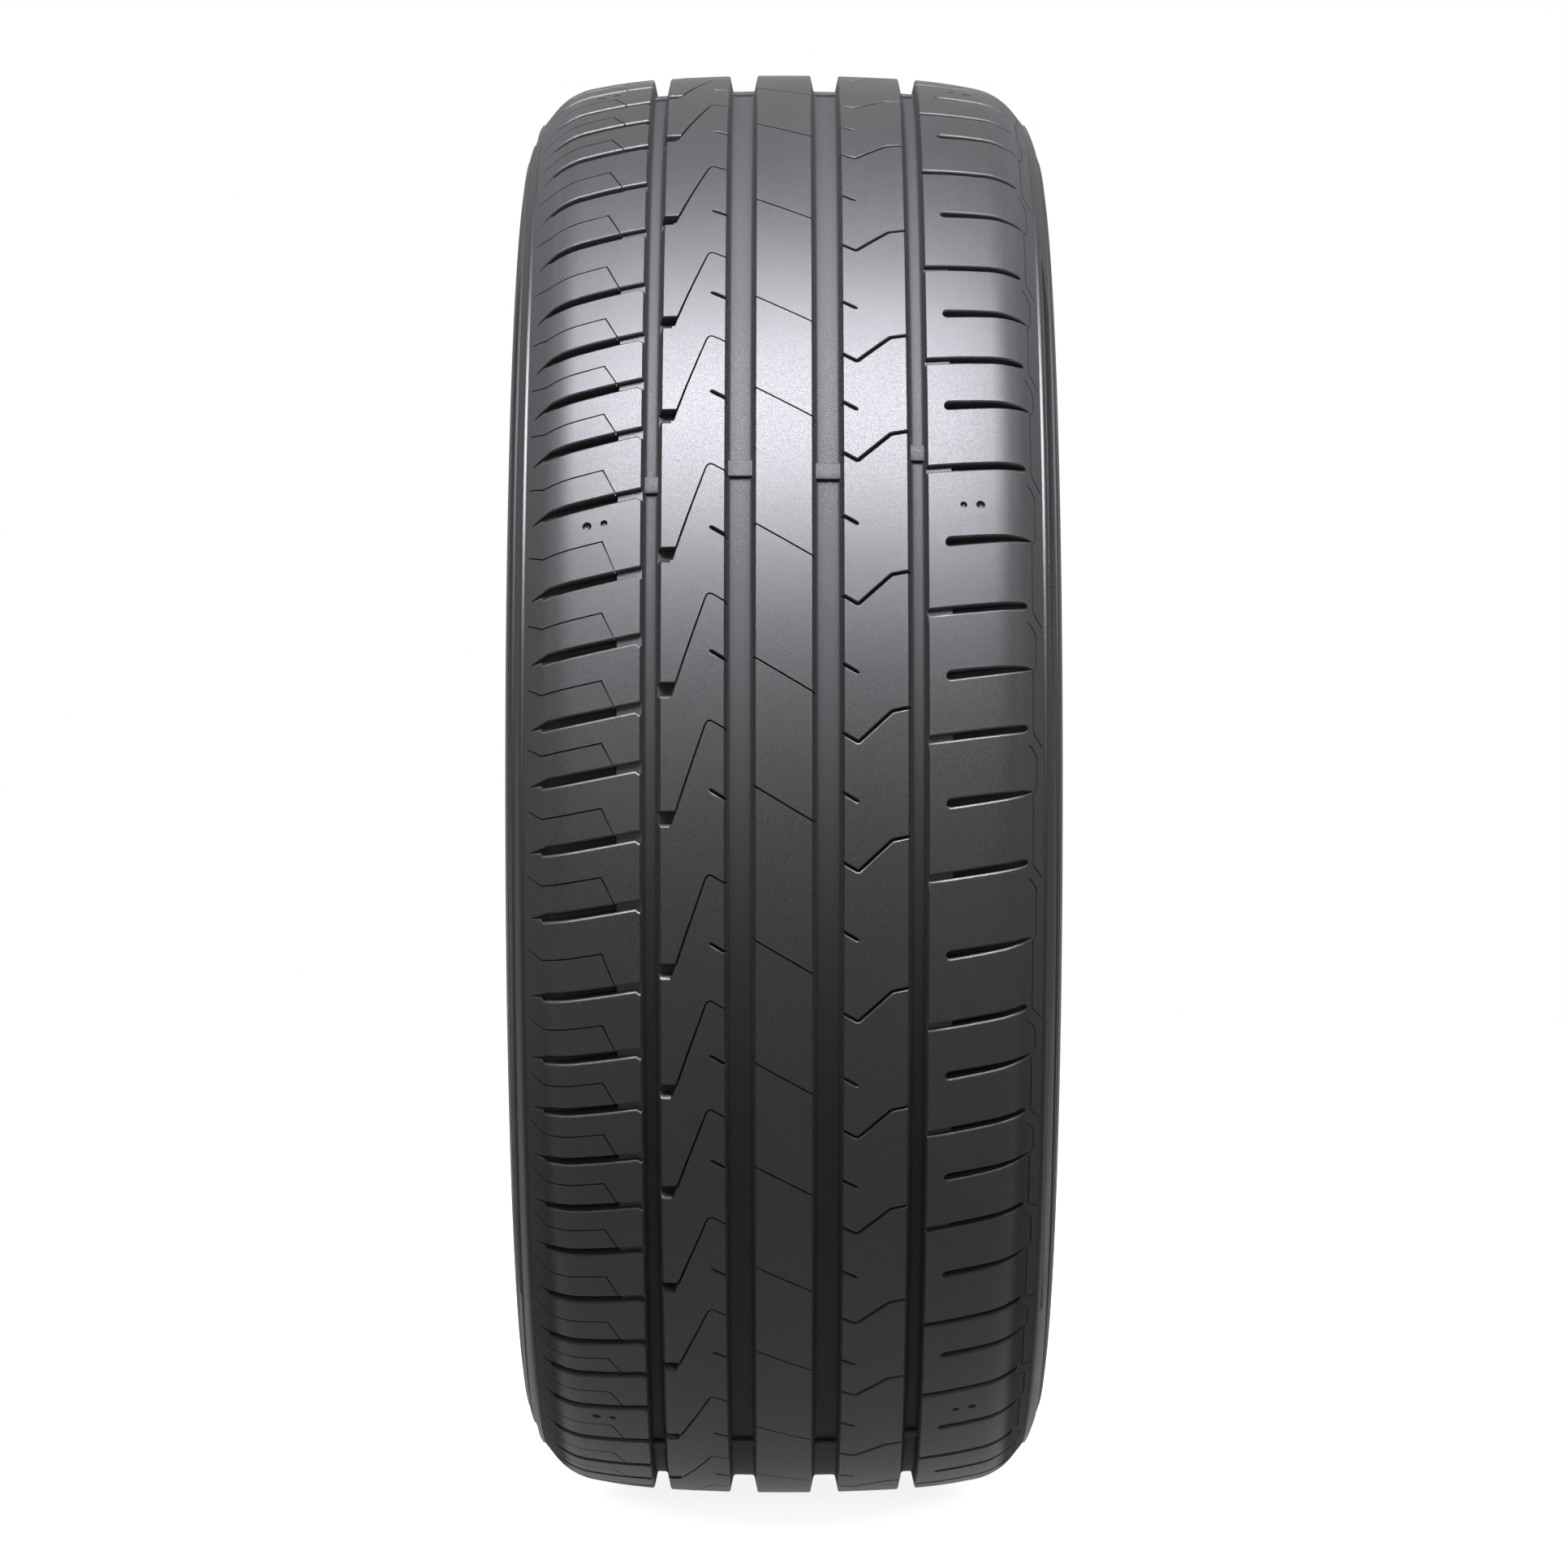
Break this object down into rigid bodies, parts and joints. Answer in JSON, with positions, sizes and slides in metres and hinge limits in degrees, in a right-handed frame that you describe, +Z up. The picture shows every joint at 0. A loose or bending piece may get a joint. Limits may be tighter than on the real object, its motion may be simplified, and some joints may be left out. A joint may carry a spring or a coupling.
{
  "type": "car tyre",
  "caption": "Low-profile road tyre with an asymmetric tread: grooves round it, slanting grooves across its shoulders, thin sipes, short rib cuts and wear bars.",
  "frame": {"origin": "centre of the tyre, on its axle and half way between the sidewalls", "axes": "+Y along the axle towards the right sidewall, +Z up, +X towards the tread that faces the viewer"},
  "size_m": [0.634, 0.2286, 0.634],
  "materials": {
    "rubber": "matte"
  },
  "bodies": {
    "root": {"tyre": "rubber"}
  },
  "joints": []
}
